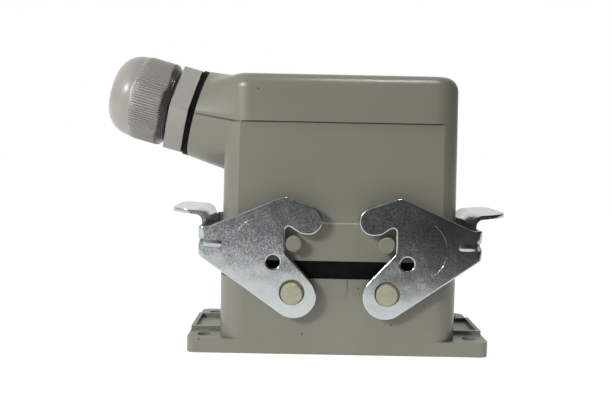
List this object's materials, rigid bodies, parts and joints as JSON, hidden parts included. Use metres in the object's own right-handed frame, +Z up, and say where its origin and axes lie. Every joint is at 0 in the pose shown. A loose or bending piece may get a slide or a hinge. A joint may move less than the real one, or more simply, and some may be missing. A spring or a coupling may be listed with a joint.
{
  "type": "heavy duty rectangular connector",
  "caption": "Closed rectangular power connector: flanged housing with two locking levers, and a hood with an angled cable gland.",
  "frame": {"origin": "centre of the flange's bottom face", "axes": "+Z up, +X along the length away from the cable gland, front towards -Y"},
  "size_m": [0.1279, 0.0516, 0.0916],
  "materials": {
    "grey_casting": "satin grey powder coat",
    "black_rubber": "smooth",
    "nickel": "nickel plated, fine scratches",
    "zinc_sheet": "zinc plated, faintly blue",
    "screw_steel": "zinc plated",
    "insert_plastic": "matt light grey",
    "contact_brass": "plated copper alloy",
    "gland_nylon": "smooth grey nylon"
  },
  "bodies": {
    "shell": {"housing": "grey_casting", "hood": "grey_casting", "housing_gasket": "black_rubber", "pivot_pin_front_left": "nickel", "pivot_pin_front_right": "nickel", "pivot_pin_rear_left": "nickel", "pivot_pin_rear_right": "nickel", "male_insert": "insert_plastic", "female_insert": "insert_plastic", "male_insert_screws": "screw_steel", "female_insert_screws": "screw_steel", "male_terminal_screws": "screw_steel", "female_terminal_screws": "screw_steel", "earth_screws": "screw_steel", "male_earth_left": "zinc_sheet", "male_earth_right": "zinc_sheet", "female_earth_left": "zinc_sheet", "female_earth_right": "zinc_sheet", "gland_gasket": "black_rubber", "gland_body": "gland_nylon", "male_contact_1": "contact_brass", "male_contact_2": "contact_brass", "male_contact_3": "contact_brass", "male_contact_4": "contact_brass", "male_contact_5": "contact_brass", "male_contact_6": "contact_brass", "male_contact_7": "contact_brass", "male_contact_8": "contact_brass", "male_contact_9": "contact_brass", "male_contact_10": "contact_brass", "female_contact_1": "contact_brass", "female_contact_2": "contact_brass", "female_contact_3": "contact_brass", "female_contact_4": "contact_brass", "female_contact_5": "contact_brass", "female_contact_6": "contact_brass", "female_contact_7": "contact_brass", "female_contact_8": "contact_brass", "female_contact_9": "contact_brass", "female_contact_10": "contact_brass"},
    "lever_left": {"lever_left": "zinc_sheet"},
    "lever_right": {"lever_right": "zinc_sheet"},
    "gland_clamp": {"clamp_cage": "gland_nylon", "gland_seal": "black_rubber"},
    "cap": {"dome_nut": "gland_nylon"}
  },
  "joints": [
    {"name": "lever_left_hinge", "type": "hinge", "parent": "shell", "child": "lever_left", "pos_m": [-0.01435, 0, 0.01995], "axis": [0, -1, 0], "range_deg": [0, 46]},
    {"name": "lever_right_hinge", "type": "hinge", "parent": "shell", "child": "lever_right", "pos_m": [0.01435, 0, 0.01995], "axis": [0, 1, 0], "range_deg": [0, 46]},
    {"name": "gland_clamp_slide", "type": "slide", "parent": "shell", "child": "gland_clamp", "axis": [-0.9659, 0, 0.2588], "range_m": [0, 0.0045]},
    {"name": "cap_turn", "type": "hinge", "parent": "gland_clamp", "child": "cap", "pos_m": [-0.0456, 0, 0.0734], "axis": [-0.9659, 0, 0.2588], "range_deg": [0, 1080]}
  ],
  "couplings": [
    {"joint": "gland_clamp_slide", "follows": "cap_turn", "m_per_rad": 0.00023873}
  ]
}
